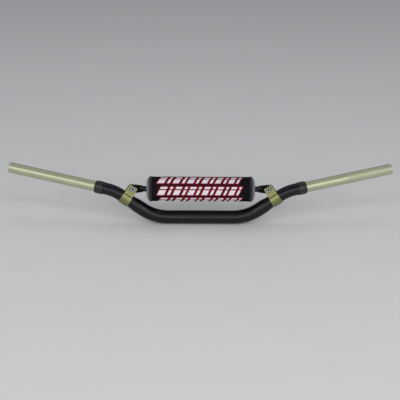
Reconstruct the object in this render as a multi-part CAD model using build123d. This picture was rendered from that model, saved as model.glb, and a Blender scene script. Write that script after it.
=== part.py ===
from build123d import *
from math import hypot, pi, radians, tan
import os

# Route of the bar, as the corners of its centreline on the right-hand side, in millimetres.
# X runs across the motorcycle, +Y back towards the rider, +Z up. The left-hand side is the mirror image.
low_corner_x = 97.9
low_bend_radius = 94.0
high_corner_x = 180.6
high_corner_y = 4.0
high_corner_z = 57.5
high_bend_radius = 70.0
tip_x = 404.0
tip_y = 47.5
tip_z = 92.4

# Tubes
grip_diameter = 22.2
inner_tube_bore = 17.0
inner_tube_end_chamfer = 0.6
outer_tube_diameter = 28.6
outer_tube_end_diameter = 25.4
outer_tube_length_past_bend = 6.3
outer_tube_end_chamfer = 0.5
swage_length = 12.0
swage_from_clamp = 4.0
tube_clearance = 0.15

# Collars that close the outer tube's ends
collar_diameter = 27.2
collar_nose_diameter = 25.0
collar_length = 17.5
collar_nose_length = 3.2
collar_heel_chamfer = 0.6
collar_clearance = 0.1
collar_groove_depth = 0.4
grip_from_collar = 0.5

# Crossbar
crossbar_y = 10.0
crossbar_z = 59.4
crossbar_diameter = 12.0
crossbar_bore = 8.0
crossbar_clearance = 0.1

# Clamps, whose section is drawn square to the riser
clamp_width = 21.2
clamp_to_bend = 1.6
clamp_wall = 1.8
clamp_clearance = 0.1
ear_inset = 1.8
ear_wall = 4.5
ear_rise_past_bolt = 6.6
ear_corner_radius = 2.6
ear_root_radius = 5.0
clamp_edge_chamfer = 0.6
lip_radius = 1.2
spot_face_diameter = 12.6
spot_face_depth = 0.6

# Clamp bolts, washers and lock nuts
bolt_diameter = 6.0
bolt_length = 30.0
bolt_head_diameter = 10.0
bolt_head_height = 6.0
bolt_head_chamfer = 0.7
bolt_socket_flats = 5.0
bolt_socket_depth = 3.0
bolt_tip_chamfer = 0.7
bolt_hole_clearance = 0.2
washer_diameter = 11.8
washer_thickness = 1.6
nut_flats = 10.0
nut_hex_height = 4.6
nut_height = 6.0
nut_collar_diameter = 8.8
nut_collar_fillet = 1.2
nut_chamfer = 0.4
nut_thread_clearance = 0.05

# End fittings of the crossbar
eye_thickness = 12.7
eye_diameter = 18.4
eye_side_clearance = 0.15
neck_height = 15.0
neck_length = 16.0
neck_land = 0.2
neck_overlap = 2.0
fitting_diameter = 15.0
fitting_length = 21.9
fitting_edge_chamfer = 0.8
eye_edge_chamfer = 0.7
socket_depth = 7.8
socket_floor_gap = 0.3

# Cross pins through the end fittings
pin_inset = 3.0
pin_diameter = 3.0
pin_proud = 0.25
pin_clearance = 0.05
pin_tilt = 37.0

# Foam and cover of the pad
pad_diameter = 51.5
bare_crossbar = 9.4
foam_bulge = 4.9
foam_edge_setback = 1.6
foam_dome_sagitta = 3.4
foam_slit = 0.8
foam_slit_angle = 8.0
sleeve_thickness = 1.4
soft_clearance = 0.25
binding_width = 5.5
binding_thickness = 0.6
seam_clearance = 0.05
lap_start = -15.0
lap_angle = 45.0
lap_ramp = 26.0
strip_thickness = 1.0
strip_margin = 4.0
strip_end_margin = 6.0


# Route and the frames that the pieces are placed in

near = 0.05
upright = (Align.CENTER, Align.CENTER, Align.MIN)
low_corner = Vector(low_corner_x, 0, 0)
high_corner = Vector(high_corner_x, high_corner_y, high_corner_z)
tip = Vector(tip_x, tip_y, tip_z)
riser_way = (high_corner - low_corner).normalized()
grip_way = (tip - high_corner).normalized()


def left(point):
    """The same point on the left-hand side."""
    return Vector(-point.X, point.Y, point.Z)


def tangent_length(radius, way_in, way_out):
    """Distance from a corner to the point where its bend begins."""
    return radius * tan(radians(way_in.get_angle(way_out)) / 2)


high_tangent = tangent_length(high_bend_radius, riser_way, grip_way)
outer_tube_end = high_corner + grip_way * (high_tangent + outer_tube_length_past_bend)
collar_end = outer_tube_end + grip_way * collar_length
grip_start = collar_end + grip_way * grip_from_collar

outer_radius = outer_tube_diameter / 2
outer_end_radius = outer_tube_end_diameter / 2
grip_radius = grip_diameter / 2
clamp_bore_radius = outer_end_radius + clamp_clearance
clamp_radius = clamp_bore_radius + clamp_wall

# The clamp is square to the riser, just short of the upper bend, and reaches for the crossbar's axis.
clamp_centre = high_corner - riser_way * (high_tangent + clamp_to_bend + clamp_width / 2)
across = Vector(0, crossbar_y - clamp_centre.Y, crossbar_z - clamp_centre.Z)
bolt_x = clamp_centre.X - across.dot(riser_way) / riser_way.X
bolt_centre = Vector(bolt_x, crossbar_y, crossbar_z)
reach = bolt_centre - clamp_centre
bolt_height = reach.length
clamp_frame = Plane(origin=clamp_centre, x_dir=reach, z_dir=riser_way)
bolt_way = clamp_frame.y_dir
bolt_frame = Plane(origin=bolt_centre, x_dir=riser_way, z_dir=bolt_way)
ear_gap = eye_thickness + 2 * eye_side_clearance
ear_half_thickness = ear_gap / 2 + ear_wall
ear_half_width = clamp_width / 2 - ear_inset
head_seat = ear_half_thickness - spot_face_depth

# The tube is swaged down before it enters the clamp.
swage_end = clamp_centre - riser_way * (clamp_width / 2 + swage_from_clamp)
swage_start = swage_end - riser_way * swage_length

# The crossbar runs from socket to socket, and the pad covers it but for a short stretch at each end.
fitting_inner_x = bolt_x - fitting_length
crossbar_half_length = fitting_inner_x + socket_depth - socket_floor_gap
pin_x = fitting_inner_x + pin_inset
pad_half_length = fitting_inner_x - bare_crossbar - foam_bulge
sleeve_outer_radius = pad_diameter / 2
sleeve_inner_radius = sleeve_outer_radius - sleeve_thickness
foam_radius = sleeve_inner_radius - soft_clearance
flap_rise = sleeve_thickness + strip_thickness + 2 * seam_clearance


# Tubes

def swept(section_radius, *corners, bends):
    """A round bar along a route of straight runs and tangent bends."""
    route = FilletPolyline(*corners, radius=bends)
    start = Plane(origin=route @ 0, z_dir=route % 0)
    return sweep(start * Circle(section_radius), path=route)


def along_bar(section_radius, end):
    """A round bar along the whole route, out to a point on each grip."""
    corners = [left(end), left(high_corner), left(low_corner), low_corner, high_corner, end]
    bends = [high_bend_radius, low_bend_radius, low_bend_radius, high_bend_radius]
    return swept(section_radius, *corners, bends=bends)


def end_edges(tube, end, radius):
    """The outer edges of a tube's two ends."""
    places = (end, left(end))
    rims = [e for e in tube.edges().filter_by(GeomType.CIRCLE) if abs(e.radius - radius) < near]
    return [e for e in rims if min((e.arc_center - place).length for place in places) < near]


def make_inner_tube():
    """One bore and one diameter from tip to tip, but for a groove under each collar."""
    tube = along_bar(grip_radius, tip) - along_bar(inner_tube_bore / 2, tip)
    ring = Circle(outer_radius) - Circle(grip_radius - collar_groove_depth)
    groove_length = (grip_start - outer_tube_end).length
    groove = extrude(Plane(origin=outer_tube_end, z_dir=grip_way) * ring, amount=groove_length)
    tube = tube - groove - mirror(groove, about=Plane.YZ)
    return chamfer(end_edges(tube, tip, grip_radius), inner_tube_end_chamfer)


def make_outer_tube():
    """Full diameter in the middle, swaged down just before each clamp."""
    middle = swept(outer_radius, Vector(0, 0, 0), low_corner, swage_start, bends=[low_bend_radius])
    swage = Plane(origin=swage_start, z_dir=riser_way) * Cone(
        outer_radius, outer_end_radius, swage_length, align=upright
    )
    shoulder = swept(outer_end_radius, swage_end, high_corner, outer_tube_end, bends=[high_bend_radius])
    side = middle + swage + shoulder
    tube = side + mirror(side, about=Plane.YZ)
    tube -= along_bar(grip_radius + tube_clearance, outer_tube_end)
    return chamfer(end_edges(tube, outer_tube_end, outer_end_radius), outer_tube_end_chamfer)


def make_collar():
    """A ring with a tapered nose, seated against the outer tube's end."""
    bore = grip_radius + collar_clearance
    body = collar_diameter / 2
    nose = collar_nose_diameter / 2
    profile = make_face(
        Polyline(
            (bore, 0),
            (body - collar_heel_chamfer, 0),
            (body, collar_heel_chamfer),
            (body, collar_length - collar_nose_length),
            (nose, collar_length),
            (bore, collar_length),
            close=True,
        )
    )
    ring = revolve(Plane.XZ * profile, Axis.Z)
    return Plane(origin=outer_tube_end, z_dir=grip_way) * ring


# Clamps and what goes through them

def make_clamp():
    """A strap round the tube whose two ears close on the crossbar's eye."""
    ear_top = bolt_height + ear_rise_past_bolt
    outline = Circle(clamp_radius) + Pos(ear_top / 2, 0) * Rectangle(ear_top, 2 * ear_half_thickness)
    roots = [v for v in outline.vertices() if abs(hypot(v.X, v.Y) - clamp_radius) < near]
    outline = fillet(roots, ear_root_radius)
    outline -= Pos(ear_top / 2, 0) * Rectangle(ear_top, ear_gap)
    outline -= Circle(clamp_bore_radius)
    lips = [v for v in outline.vertices() if abs(hypot(v.X, v.Y) - clamp_bore_radius) < near]
    outline = fillet(lips, lip_radius)
    strap = extrude(outline, amount=clamp_width / 2, both=True)

    # Seen along the bolt, the strap narrows towards the top of its ears.
    half = clamp_width / 2
    side = make_face(
        Polyline(
            (-clamp_radius, -half), (0, -half), (ear_top, -ear_half_width),
            (ear_top, ear_half_width), (0, half), (-clamp_radius, half),
            close=True,
        )
    )
    tops = [v for v in side.vertices() if abs(v.X - ear_top) < near]
    side = fillet(tops, ear_corner_radius)
    strap &= extrude(Plane.XZ * side, amount=2 * clamp_radius, both=True)
    strap = chamfer(outer_rims(strap), clamp_edge_chamfer)

    hole = Pos(bolt_height, 0, 0) * Rot(90, 0, 0)
    strap -= hole * Cylinder(bolt_diameter / 2 + bolt_hole_clearance, 4 * clamp_radius)
    for face in (1, -1):
        recess = Cylinder(spot_face_diameter / 2, 2 * spot_face_depth)
        strap -= Pos(bolt_height, face * ear_half_thickness, 0) * Rot(90, 0, 0) * recess
    return clamp_frame * strap


def outer_rims(strap):
    """The strap's outer long edges, on both of its sides."""
    def on_outside(edge):
        x, y, z = edge @ 0.5
        on_ear = abs(y) > ear_half_thickness - near
        on_bow = x < 0 and hypot(x, y) > clamp_radius - near
        return (on_ear or on_bow) and abs(z) > ear_half_width - near

    runs = strap.faces().filter_by(lambda f: abs(f.normal_at().Z) > 0.9).edges()
    return [e for e in runs if on_outside(e)]


def at_bolt(height):
    """A frame on the bolt's axis, at a height over the middle of the eye."""
    return bolt_frame * Pos(0, 0, height)


def make_clamp_bolt():
    head = Cylinder(bolt_head_diameter / 2, bolt_head_height, align=upright)
    head = chamfer(head.faces().sort_by(Axis.Z)[-1].edges(), bolt_head_chamfer)
    socket = RegularPolygon(bolt_socket_flats / 2, 6, major_radius=False)
    head -= Pos(0, 0, bolt_head_height) * extrude(socket, amount=-bolt_socket_depth)
    shank = Cylinder(bolt_diameter / 2, bolt_length, align=upright)
    shank = chamfer(shank.faces().sort_by(Axis.Z)[0].edges(), bolt_tip_chamfer)
    return at_bolt(head_seat) * (head + Pos(0, 0, -bolt_length) * shank)


def make_clamp_washer():
    ring = Circle(washer_diameter / 2) - Circle(bolt_diameter / 2 + bolt_hole_clearance)
    return at_bolt(-head_seat) * extrude(ring, amount=-washer_thickness)


def make_clamp_nut():
    """A lock nut: a chamfered hexagon and the round collar that grips the thread."""
    hexagon = extrude(RegularPolygon(nut_flats / 2, 6, major_radius=False), amount=nut_hex_height)
    corner = nut_flats / 3 ** 0.5
    crown = Cone(corner + nut_hex_height, corner - nut_chamfer, nut_hex_height, align=upright)
    collar = Cylinder(nut_collar_diameter / 2, nut_height, align=upright)
    collar = fillet(collar.faces().sort_by(Axis.Z)[-1].edges(), nut_collar_fillet)
    nut = (hexagon & crown) + collar
    nut -= Cylinder(bolt_diameter / 2 + nut_thread_clearance, 3 * nut_height)
    return at_bolt(-head_seat - washer_thickness) * Rot(180, 0, 0) * nut


# Crossbar and its end fittings

def crossways(x):
    """A frame on the crossbar's axis, looking outwards."""
    return Plane(origin=(x, crossbar_y, crossbar_z), x_dir=(0, 1, 0), z_dir=(1, 0, 0))


def pin_body(radius):
    """The cross pin's own cylinder, or the hole for it."""
    length = fitting_diameter + 2 * pin_proud
    return crossways(pin_x) * Rot(0, 0, -pin_tilt) * Rot(0, 90, 0) * Cylinder(radius, length)


def make_crossbar_tube():
    ring = Circle(crossbar_diameter / 2) - Circle(crossbar_bore / 2)
    tube = extrude(crossways(-crossbar_half_length) * ring, amount=2 * crossbar_half_length)
    hole = pin_body(pin_diameter / 2 + pin_clearance)
    return tube - hole - mirror(hole, about=Plane.YZ)


def make_crossbar_end():
    """An eye between the clamp's ears, with a neck that runs into a round socket."""
    inwards = Vector(-1, 0, 0)
    inwards = inwards - bolt_way * inwards.dot(bolt_way)
    eye_frame = Plane(origin=bolt_centre, x_dir=inwards, z_dir=bolt_way)
    blade = make_hull(
        (Circle(eye_diameter / 2) + Pos(neck_length, 0) * Rectangle(neck_land, neck_height)).edges()
    )
    eye = extrude(eye_frame * blade, amount=eye_thickness / 2, both=True)
    eye = chamfer(eye.faces().sort_by(lambda f: f.area)[-2:].edges(), eye_edge_chamfer)
    barrel_length = bolt_centre.X - neck_length + neck_overlap - fitting_inner_x
    barrel = crossways(fitting_inner_x) * Cylinder(
        fitting_diameter / 2, barrel_length, align=upright
    )
    barrel = chamfer(barrel.faces().sort_by(Axis.X)[0].edges(), fitting_edge_chamfer)
    fitting = eye + barrel
    fitting -= crossways(fitting_inner_x) * Cylinder(
        crossbar_diameter / 2 + crossbar_clearance, socket_depth, align=upright
    )
    fitting -= bolt_frame * Cylinder(bolt_diameter / 2 + bolt_hole_clearance, 2 * eye_thickness)
    return fitting - pin_body(pin_diameter / 2 + pin_clearance)


def make_crossbar_pin():
    return pin_body(pin_diameter / 2)


# Pad

def make_pad_foam():
    """A round bar of foam with domed ends, slit along its back to go over the crossbar."""
    half = pad_half_length - foam_edge_setback
    bore = crossbar_diameter / 2 + soft_clearance
    domed = pad_half_length + foam_bulge
    top = Line((-half, foam_radius), (half, foam_radius))
    right_dome = SagittaArc((half, foam_radius), (domed, bore), foam_dome_sagitta)
    bottom = Line((domed, bore), (-domed, bore))
    left_dome = SagittaArc((-domed, bore), (-half, foam_radius), foam_dome_sagitta)
    foam = revolve(make_face([top, right_dome, bottom, left_dome]), Axis.X)
    slit = Pos(0, foam_radius, 0) * Box(3 * half, 2 * foam_radius, foam_slit)
    foam -= Rot(foam_slit_angle, 0, 0) * slit
    return Pos(0, crossbar_y, crossbar_z) * foam


def wrap_line(radius):
    """Once round the foam, then up over its own start at the back, and along as a lap."""
    turn = CenterArc((0, 0), radius, lap_start, 360 - lap_ramp)
    lap = CenterArc((0, 0), radius + flap_rise, lap_start + 360, lap_angle)
    climb = Spline(turn @ 1, lap @ 0, tangents=[turn % 1, lap % 0])
    return Wire([turn, climb, lap])


def wrapped(inner, outer, start_x, length):
    """A length of cloth of one thickness, wrapped round the foam."""
    low, high = wrap_line(inner), wrap_line(outer)
    section = make_face([*low.edges(), *high.edges(), Line(low @ 0, high @ 0), Line(low @ 1, high @ 1)])
    return extrude(crossways(start_x) * section, amount=length)


def make_pad_sleeve():
    half = pad_half_length - binding_thickness - seam_clearance
    return wrapped(sleeve_inner_radius, sleeve_outer_radius, -half, 2 * half)


def make_pad_binding():
    """A tape over the cover's edge, seen from outside and from the end."""
    start = pad_half_length - binding_width
    tape_radius = sleeve_outer_radius + binding_thickness
    band = wrapped(sleeve_outer_radius + seam_clearance, tape_radius, start, binding_width)
    flange_start = pad_half_length - binding_thickness
    return band + wrapped(sleeve_inner_radius, tape_radius, flange_start, binding_thickness)


def make_pad_closure_strip():
    """Hook-and-loop tape between the cover's two layers at the back."""
    inner = sleeve_outer_radius + seam_clearance
    margin = strip_margin / sleeve_outer_radius * 180 / pi
    ends = (lap_start + margin, lap_angle - 2 * margin)
    low = CenterArc((0, 0), inner, *ends)
    high = CenterArc((0, 0), inner + strip_thickness, *ends)
    section = make_face([low, high, Line(low @ 0, high @ 0), Line(low @ 1, high @ 1)])
    half = pad_half_length - binding_width - strip_end_margin
    return extrude(crossways(-half) * section, amount=2 * half)


# One file for each piece; a piece on one side has its mirror image on the other.

single_pieces = {
    "inner_tube": make_inner_tube,
    "outer_tube": make_outer_tube,
    "crossbar_tube": make_crossbar_tube,
    "pad_foam": make_pad_foam,
    "pad_sleeve": make_pad_sleeve,
    "pad_closure_strip": make_pad_closure_strip,
}
paired_pieces = {
    "collar": make_collar,
    "clamp": make_clamp,
    "clamp_bolt": make_clamp_bolt,
    "clamp_washer": make_clamp_washer,
    "clamp_nut": make_clamp_nut,
    "crossbar_end": make_crossbar_end,
    "crossbar_pin": make_crossbar_pin,
    "pad_binding": make_pad_binding,
}

os.makedirs("parts", exist_ok=True)
for name, make in single_pieces.items():
    export_step(make(), f"parts/{name}.step")
for name, make in paired_pieces.items():
    piece = make()
    export_step(piece, f"parts/{name}_right.step")
    export_step(mirror(piece, about=Plane.YZ), f"parts/{name}_left.step")
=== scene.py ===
"""Dresses a packed motocross handlebar: anodised tubes, machined clamps, crossbar fittings and a sewn pad."""

import functools
import logging
from dataclasses import dataclass, field
from enum import Enum
from math import atan2, ceil, cos, pi, radians, sin
from typing import Callable, Collection, Optional, Sequence, Union

import bmesh
import bpy
from mathutils import Matrix, Vector, noise


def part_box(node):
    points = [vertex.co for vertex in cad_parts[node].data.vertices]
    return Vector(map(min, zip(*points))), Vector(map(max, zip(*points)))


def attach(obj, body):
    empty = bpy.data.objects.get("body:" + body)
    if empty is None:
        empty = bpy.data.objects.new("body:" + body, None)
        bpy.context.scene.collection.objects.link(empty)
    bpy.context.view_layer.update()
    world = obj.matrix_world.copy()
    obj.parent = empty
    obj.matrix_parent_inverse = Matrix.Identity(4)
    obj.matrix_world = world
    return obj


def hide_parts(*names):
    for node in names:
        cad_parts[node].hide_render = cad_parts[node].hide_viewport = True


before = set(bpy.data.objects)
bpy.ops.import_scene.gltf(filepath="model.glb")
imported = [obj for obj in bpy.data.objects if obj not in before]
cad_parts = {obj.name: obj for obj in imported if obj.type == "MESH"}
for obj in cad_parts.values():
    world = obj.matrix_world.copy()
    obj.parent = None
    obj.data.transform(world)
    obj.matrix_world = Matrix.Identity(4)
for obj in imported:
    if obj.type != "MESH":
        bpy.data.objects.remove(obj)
log = logging.getLogger("handlebar")

Colour = tuple[float, float, float, float]
Number = Union["Socket", float]
MM = 0.001
WELD = 0.0005 * MM
CREASE = radians(32)


# Shader maths

def arithmetic(operation: str, swapped: bool = False) -> Callable[..., "Socket"]:
    """A method that adds a Math node for its socket and, where one is given, another value.

    Args:
        operation: The node's operation.
        swapped: Whether the other value comes first.

    Returns:
        The method.
    """
    def method(self: "Socket", *other: Number) -> "Socket":
        """The result of the operation."""
        return self.paint.calculate(operation, *((*other, self) if swapped else (self, *other)))

    return method


class Socket:
    """One output of a shader node, with arithmetic that adds its own Math nodes."""

    __add__ = arithmetic("ADD")
    __radd__ = arithmetic("ADD", swapped=True)
    __sub__ = arithmetic("SUBTRACT")
    __rsub__ = arithmetic("SUBTRACT", swapped=True)
    __mul__ = arithmetic("MULTIPLY")
    __rmul__ = arithmetic("MULTIPLY", swapped=True)
    __lt__ = arithmetic("LESS_THAN")
    __gt__ = arithmetic("GREATER_THAN")
    absolute = arithmetic("ABSOLUTE")
    fraction = arithmetic("FRACT")
    sine = arithmetic("SINE")

    def __init__(self, paint: "Paint", output: Optional[bpy.types.NodeSocket]) -> None:
        """Keeps the output and the material that it belongs to."""
        self.paint = paint
        self.output = output

    def between(self, low: float, high: float) -> "Socket":
        """0 at and below the low value, 1 at and above the high one, and smooth from one to the other."""
        return self.paint.node(
            "ShaderNodeMapRange",
            {"Value": self, "From Min": low, "From Max": high},
            interpolation_type="SMOOTHSTEP",
        )


class Paint:
    """One material's node tree while it is made."""

    def __init__(self, name: str) -> None:
        """Starts an empty material of that name."""
        self.material = bpy.data.materials.new(name)
        self.material.use_nodes = True
        self.tree = self.material.node_tree
        self.tree.nodes.clear()

    def node(
        self,
        kind: str,
        inputs: Optional[dict[Union[int, str], object]] = None,
        output: Union[int, str] = 0,
        stops: Sequence[tuple[float, float]] = (),
        **settings: object,
    ) -> Socket:
        """Adds a node.

        Args:
            kind: The node's type.
            inputs: A value or a Socket for each input that is set, by name or number.
            output: The output that is wanted.
            stops: The positions and greys of a ramp that steps from one to the next.
            settings: The node's own settings, which are set first.

        Returns:
            The wanted output.
        """
        made = self.tree.nodes.new(kind)
        for name, value in settings.items():
            setattr(made, name, value)
        if stops:
            ramp = made.color_ramp
            ramp.interpolation = "CONSTANT"
            while len(ramp.elements) < len(stops):
                ramp.elements.new(1.0)
            for element, (position, grey) in zip(ramp.elements, stops):
                element.position = position
                element.color = (grey, grey, grey, 1.0)
        for key, value in (inputs or {}).items():
            if isinstance(value, Socket):
                self.tree.links.new(value.output, made.inputs[key])
            else:
                made.inputs[key].default_value = value
        return Socket(self, made.outputs[output] if made.outputs else None)

    def calculate(self, operation: str, *values: Number) -> Socket:
        """A Math node on one or two values."""
        return self.node("ShaderNodeMath", dict(enumerate(values)), operation=operation)

    def place(self) -> Socket:
        """The point on the piece, in metres in the shared frame."""
        return self.node("ShaderNodeTexCoord", output="Object")

    def along(self, name: str) -> Socket:
        """A distance in metres that the mesh carries from point to point."""
        return self.node("ShaderNodeAttribute", output="Fac", attribute_name=name)

    def noise(self, point: Socket, scale: float, detail: float = 2.0, roughness: float = 0.5) -> Socket:
        """Cloudy noise from 0 to 1, with features about one over scale metres wide."""
        return self.node(
            "ShaderNodeTexNoise",
            {"Vector": point, "Scale": scale, "Detail": detail, "Roughness": roughness},
        )

    def dots(self, point: Socket, scale: float, disorder: float) -> Socket:
        """The distance from the middles of dots about one over scale metres apart, in even rows or in disorder."""
        return self.node("ShaderNodeTexVoronoi", {"Vector": point, "Scale": scale, "Randomness": disorder})

    def vector(self, x: Number, y: Number, z: Number) -> Socket:
        """A vector of three values."""
        return self.node("ShaderNodeCombineXYZ", {0: x, 1: y, 2: z})

    def mix(self, factor: Number, first: Union[Socket, Colour], second: Union[Socket, Colour]) -> Socket:
        """The first colour where the factor is 0, and the second where it is 1."""
        return self.node("ShaderNodeMix", {0: factor, 6: first, 7: second}, output=2, data_type="RGBA")

    def edges(self, width: float) -> Socket:
        """How near a point is to an outer or inner edge, from 0 to about 1.

        Args:
            width: The distance from the edge, in metres, that still counts.

        Returns:
            The mask.
        """
        rounded = self.node("ShaderNodeBevel", {"Radius": width}, samples=6)
        normal = self.node("ShaderNodeNewGeometry", output="Normal")
        likeness = self.node("ShaderNodeVectorMath", {0: rounded, 1: normal}, output="Value", operation="DOT_PRODUCT")
        return (1.0 - likeness).between(0.004, 0.12)

    def relief(self, height: Socket, depth: float, under: Optional[Socket] = None) -> Socket:
        """Small relief for the Normal socket.

        Args:
            height: The height from 0 to 1.
            depth: How deep that is, in metres.
            under: Coarser relief that this lies on.

        Returns:
            The bumped normal.
        """
        inputs: dict[Union[int, str], object] = {"Height": height, "Distance": depth, "Strength": 1.0}
        if under:
            inputs["Normal"] = under
        return self.node("ShaderNodeBump", inputs)

    def surface(self, **sockets: object) -> None:
        """Ends the material in one Principled surface, whose sockets are named with underscores."""
        inputs = {name.replace("_", " "): value for name, value in sockets.items()}
        shader = self.node("ShaderNodeBsdfPrincipled", inputs)
        self.node("ShaderNodeOutputMaterial", {"Surface": shader})


def tint(colour: Colour, factor: float) -> Colour:
    """A lighter or darker shade of a colour."""
    return (colour[0] * factor, colour[1] * factor, colour[2] * factor, 1.0)


# Finishes

@dataclass(frozen=True)
class Finish:
    """A finish of the record, which its pieces are painted with."""

    slot: str
    name: str

    def apply(self, paint: Paint, point: Socket) -> None:
        """Builds the finish's nodes on a point of the piece."""
        raise NotImplementedError


@functools.cache
def material_of(finish: Finish) -> bpy.types.Material:
    """The finish's material, made once."""
    paint = Paint(finish.name)
    finish.apply(paint, paint.place())
    return paint.material


@dataclass(frozen=True)
class Anodised(Finish):
    """Aluminium with a coloured oxide layer, blasted or turned beneath it and rubbed bare on its edges; where the edge
    band is wide and even it is also a painted highlight.
    """

    colour: Colour
    bare: Colour
    metal: float
    roughness: float
    drift: float = 0.08
    grit: float = 0.012 * MM
    rings: float = 0.0
    edge: float = 0.35 * MM
    wear_and_highlight: float = 0.5
    even: float = 0.0
    shine: float = 0.5
    cloud_scale: float = 38.0
    grain_scale: float = 1500.0
    smear_scale: float = 210.0
    ring_scale: float = 2600.0
    scratch_scale: tuple[float, float, float] = (30.0, 900.0, 900.0)

    def apply(self, paint: Paint, point: Socket) -> None:
        """Cloudy colour, a fine grain, faint turned rings, hairline scratches and lighter edges, worn and, on the
        clamps, painted as a highlight.
        """
        cloud = paint.noise(point, self.cloud_scale, 3.0)
        grain = paint.noise(point, self.grain_scale, 2.0)
        smear = paint.noise(point, self.smear_scale, 4.0, 0.62)
        long_way = paint.node("ShaderNodeMapping", {"Vector": point, "Scale": self.scratch_scale})
        scratch = paint.noise(long_way, 1.0, 2.0).between(0.70, 0.78)
        patchy = smear.between(0.38, 0.66) * (1.0 - self.even) + self.even
        # Edges are lightened towards the bare colour: wear, and where even is high also a painted highlight.
        worn_and_lit = paint.edges(self.edge) * patchy * self.wear_and_highlight
        shade = paint.mix(cloud, tint(self.colour, 1.0 - self.drift), tint(self.colour, 1.0 + self.drift))
        shade = paint.mix(smear.between(0.55, 0.8) * 0.35, shade, tint(self.colour, 0.82))
        colour = paint.mix((worn_and_lit + scratch * 0.10).between(0.0, 1.0), shade, self.bare)
        roughness = self.roughness + (cloud - 0.5) * 0.10 + (smear - 0.5) * 0.16 - worn_and_lit * 0.10
        height = grain + scratch * -0.25
        if self.rings:
            turned = paint.noise(paint.vector(paint.along("along") * self.ring_scale, 0.0, 0.0), 1.0, 2.0)
            height = height + turned * self.rings
        paint.surface(
            Base_Color=colour,
            Metallic=self.metal,
            Roughness=roughness,
            Specular_IOR_Level=self.shine,
            Normal=paint.relief(height, self.grit),
        )


@dataclass(frozen=True)
class Steel(Finish):
    """Bright zinc-plated steel."""

    colour: Colour
    roughness: float
    patch_scale: float = 420.0
    grain_scale: float = 3200.0
    grain_depth: float = 0.006 * MM
    dark_edge_width: float = 0.25 * MM

    def apply(self, paint: Paint, point: Socket) -> None:
        """A bright surface with dulled patches, grime and painted shade darkening its edges and corners, and a faint
        grain.
        """
        patch = paint.noise(point, self.patch_scale, 3.0, 0.6)
        grain = paint.noise(point, self.grain_scale, 2.0)
        # Painted shade: edges and corners are darkened, partly as grime and partly for the shade that falls there.
        grime_and_shade = paint.edges(self.dark_edge_width) * patch.between(0.45, 0.7) * 0.5
        shade = paint.mix(patch, tint(self.colour, 0.88), tint(self.colour, 1.06))
        paint.surface(
            Base_Color=paint.mix(grime_and_shade, shade, tint(self.colour, 0.42)),
            Metallic=1.0,
            Roughness=self.roughness + (patch - 0.5) * 0.22 + grime_and_shade * 0.2,
            Normal=paint.relief(grain, self.grain_depth),
        )


@dataclass(frozen=True)
class OpenFoam(Finish):
    """Open-cell foam, whose cut skin is a mass of fine pits."""

    colour: Colour
    cell_scale: float = 1150.0
    pore_scale: float = 430.0
    cloud_scale: float = 70.0
    pit_depth: float = 0.30 * MM

    def apply(self, paint: Paint, point: Socket) -> None:
        """Cells of two sizes, with painted shade darkening their pits, and a dusty cloudiness."""
        cells = paint.dots(point, self.cell_scale, 1.0)
        pores = paint.dots(point, self.pore_scale, 1.0)
        cloud = paint.noise(point, self.cloud_scale, 3.0)
        # Painted shade: the pits are darkened for the shade in them.
        pit = (1.0 - cells.between(0.05, 0.5)) * 0.55 + (1.0 - pores.between(0.02, 0.28)) * 0.45
        shade = paint.mix(cloud, tint(self.colour, 0.88), tint(self.colour, 1.1))
        paint.surface(
            Base_Color=paint.mix(pit, shade, tint(self.colour, 0.45)),
            Roughness=0.92,
            Sheen_Weight=0.25,
            Sheen_Roughness=0.6,
            Normal=paint.relief(1.0 - pit, self.pit_depth),
        )


@dataclass(frozen=True)
class Bars:
    """Slanting printed bars that get narrower along the pad, in rows round it."""

    start: float = -86.5 * MM
    widths: tuple[float, ...] = tuple(
        width * MM for width in (14.0, 6.0, 13.0, 5.6, 12.2, 5.4, 11.6, 5.2, 11.0, 5.0, 10.4, 4.8)
    )
    space: float = 5.8 * MM
    span: float = 200.0 * MM
    lead: float = 0.05
    slant: float = 0.47
    pitch: float = 25.3 * MM
    first_row: float = 6.7 * MM
    height: float = 17.4 * MM
    split: float = 3.0 * MM
    split_width: float = 2.4 * MM
    outline: float = 2.3 * MM
    split_outline: float = 0.6
    hem: float = 171.0 * MM

    def stops(self, grow: float) -> list[tuple[float, float]]:
        """Where the bars begin and end along the pad.

        Args:
            grow: How far each bar is grown on both sides, in metres.

        Returns:
            A ramp's stops over the printed span.
        """
        found = [(0.0, 0.0)]
        at = 0.0
        for width in self.widths:
            low = (at - grow) / self.span + self.lead
            high = (at + width + grow) / self.span + self.lead
            found += [(low, 1.0), (high, 0.0)]
            at += width + self.space
        return found

    def masks(self, paint: Paint, length: Socket, round_it: Socket) -> tuple[Socket, Socket]:
        """The printed ink.

        Args:
            paint: The material that is made.
            length: The distance along the pad from its middle.
            round_it: The distance round the pad from the cloth's start.

        Returns:
            The mask of the bars, and of the bars with their outline.
        """
        row = (((round_it - self.first_row) * (1.0 / self.pitch) + 0.5).fraction() - 0.5) * self.pitch
        slanted = (length + row * self.slant - self.start) * (1.0 / self.span) + self.lead
        off = (row + self.split).absolute()
        printed = round_it < self.hem
        masks = []
        for grow in (0.0, self.outline):
            bar = paint.node("ShaderNodeValToRGB", {"Fac": slanted}, stops=self.stops(grow))
            tall = row.absolute() < self.height / 2 + grow
            line = off > self.split_width / 2 - grow * self.split_outline
            masks.append(bar * tall * line * printed)
        return masks[0], masks[1]


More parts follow.
